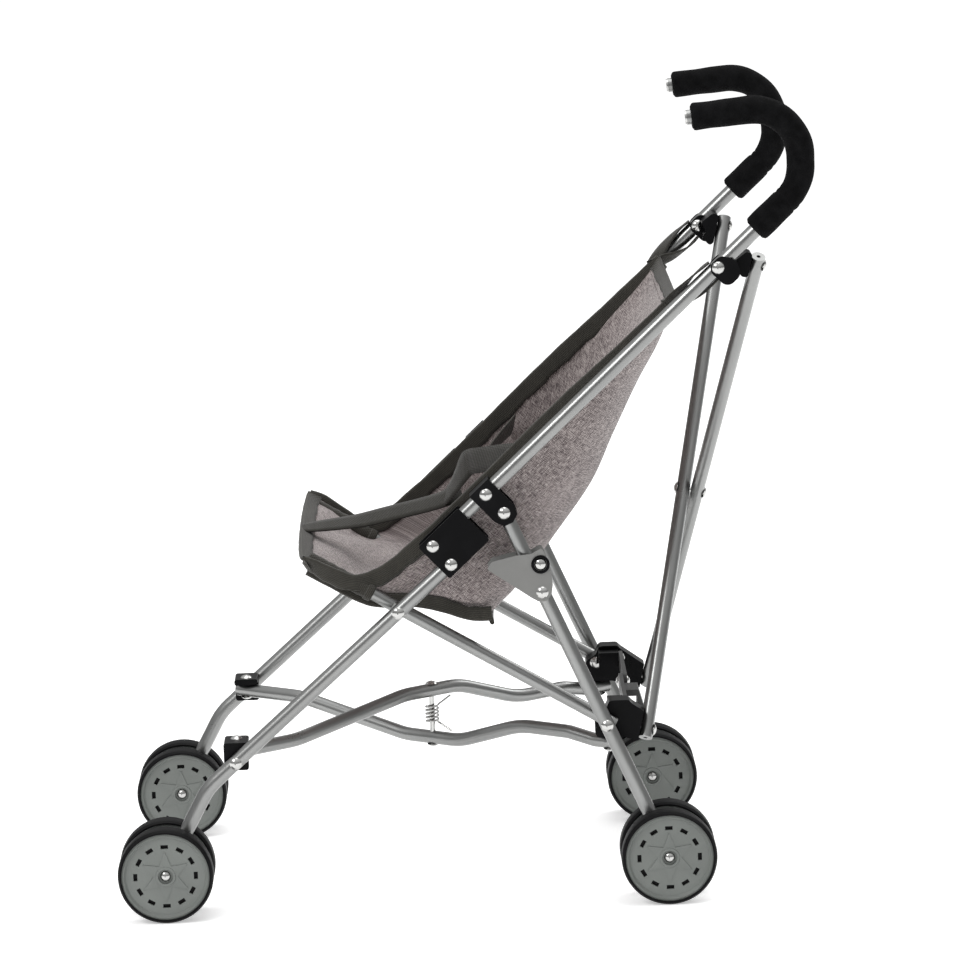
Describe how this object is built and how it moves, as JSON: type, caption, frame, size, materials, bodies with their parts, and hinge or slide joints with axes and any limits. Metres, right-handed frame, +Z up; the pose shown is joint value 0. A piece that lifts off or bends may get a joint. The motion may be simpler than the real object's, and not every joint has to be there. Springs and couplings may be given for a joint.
{
  "type": "doll stroller",
  "caption": "Umbrella-fold doll buggy: crossed tube frame on double wheels, slung fabric seat and foam-covered hook handles.",
  "frame": {"origin": "on the floor, under the middle of the whole buggy's box", "axes": "-X is the way it travels, handles are at +X, +Y is its right side, +Z is up"},
  "size_m": [0.4916, 0.283, 0.5534],
  "materials": {
    "wheel_plastic": "satin moulded plastic",
    "tyre": "matte rubber-like",
    "tube": "satin silver paint",
    "foam": "matte foam",
    "rivet": "polished",
    "black_plastic": "glossy",
    "black_steel": "black paint",
    "guard_plastic": "satin",
    "spring_steel": "plated wire",
    "seat_fabric": "melange weave",
    "webbing": "woven webbing"
  },
  "bodies": {
    "frame": {"back_bar_left": "tube", "back_bar_right": "tube", "back_bar_rivets_left": "rivet", "back_bar_rivets_right": "rivet", "centre_spring": "spring_steel", "floor_bar_left": "tube", "floor_bar_right": "tube", "floor_bar_rivets_left": "rivet", "floor_bar_rivets_right": "rivet", "fold_plates_left": "black_steel", "fold_plates_right": "black_steel", "front_bracket_left": "black_plastic", "front_bracket_right": "black_plastic", "front_leg_hardware_left": "rivet", "front_leg_hardware_right": "rivet", "front_leg_left": "tube", "front_leg_right": "tube", "handle_grip_left": "foam", "handle_grip_right": "foam", "handle_hardware_left": "rivet", "handle_hardware_right": "rivet", "handle_tube_left": "tube", "handle_tube_right": "tube", "harness_webbing": "webbing", "leg_bracket_left": "black_plastic", "leg_bracket_right": "black_plastic", "lock_pedal": "guard_plastic", "pinch_guard_left": "guard_plastic", "pinch_guard_right": "guard_plastic", "rear_knuckle_left": "black_plastic", "rear_knuckle_right": "black_plastic", "rear_leg_hardware_left": "rivet", "rear_leg_hardware_right": "rivet", "rear_leg_left": "tube", "rear_leg_right": "tube", "seat_sling": "seat_fabric", "seat_tube_left": "tube", "seat_tube_right": "tube", "spreader_arm_left": "guard_plastic", "spreader_arm_right": "guard_plastic", "spreader_rivets_left": "rivet", "spreader_rivets_right": "rivet", "upper_bracket_left": "black_plastic", "upper_bracket_right": "black_plastic"},
    "wheel_front_outer_left": {"wheel_disc_front_outer_left": "wheel_plastic", "wheel_tyre_front_outer_left": "tyre"},
    "wheel_front_outer_right": {"wheel_disc_front_outer_right": "wheel_plastic", "wheel_tyre_front_outer_right": "tyre"},
    "wheel_front_inner_left": {"wheel_disc_front_inner_left": "wheel_plastic", "wheel_tyre_front_inner_left": "tyre"},
    "wheel_front_inner_right": {"wheel_disc_front_inner_right": "wheel_plastic", "wheel_tyre_front_inner_right": "tyre"},
    "wheel_rear_outer_left": {"wheel_disc_rear_outer_left": "wheel_plastic", "wheel_tyre_rear_outer_left": "tyre"},
    "wheel_rear_outer_right": {"wheel_disc_rear_outer_right": "wheel_plastic", "wheel_tyre_rear_outer_right": "tyre"},
    "wheel_rear_inner_left": {"wheel_disc_rear_inner_left": "wheel_plastic", "wheel_tyre_rear_inner_left": "tyre"},
    "wheel_rear_inner_right": {"wheel_disc_rear_inner_right": "wheel_plastic", "wheel_tyre_rear_inner_right": "tyre"}
  },
  "joints": [
    {"name": "wheel_front_outer_left_spin", "type": "hinge", "parent": "frame", "child": "wheel_front_outer_left", "pos_m": [-0.21285, -0.134, 0.033], "axis": [0, 1, 0], "continuous": true},
    {"name": "wheel_front_outer_right_spin", "type": "hinge", "parent": "frame", "child": "wheel_front_outer_right", "pos_m": [-0.21285, 0.134, 0.033], "axis": [0, 1, 0], "continuous": true},
    {"name": "wheel_front_inner_left_spin", "type": "hinge", "parent": "frame", "child": "wheel_front_inner_left", "pos_m": [-0.21285, -0.106, 0.033], "axis": [0, 1, 0], "continuous": true},
    {"name": "wheel_front_inner_right_spin", "type": "hinge", "parent": "frame", "child": "wheel_front_inner_right", "pos_m": [-0.21285, 0.106, 0.033], "axis": [0, 1, 0], "continuous": true},
    {"name": "wheel_rear_outer_left_spin", "type": "hinge", "parent": "frame", "child": "wheel_rear_outer_left", "pos_m": [0.13375, -0.134, 0.033], "axis": [0, 1, 0], "continuous": true},
    {"name": "wheel_rear_outer_right_spin", "type": "hinge", "parent": "frame", "child": "wheel_rear_outer_right", "pos_m": [0.13375, 0.134, 0.033], "axis": [0, 1, 0], "continuous": true},
    {"name": "wheel_rear_inner_left_spin", "type": "hinge", "parent": "frame", "child": "wheel_rear_inner_left", "pos_m": [0.13375, -0.106, 0.033], "axis": [0, 1, 0], "continuous": true},
    {"name": "wheel_rear_inner_right_spin", "type": "hinge", "parent": "frame", "child": "wheel_rear_inner_right", "pos_m": [0.13375, 0.106, 0.033], "axis": [0, 1, 0], "continuous": true}
  ]
}
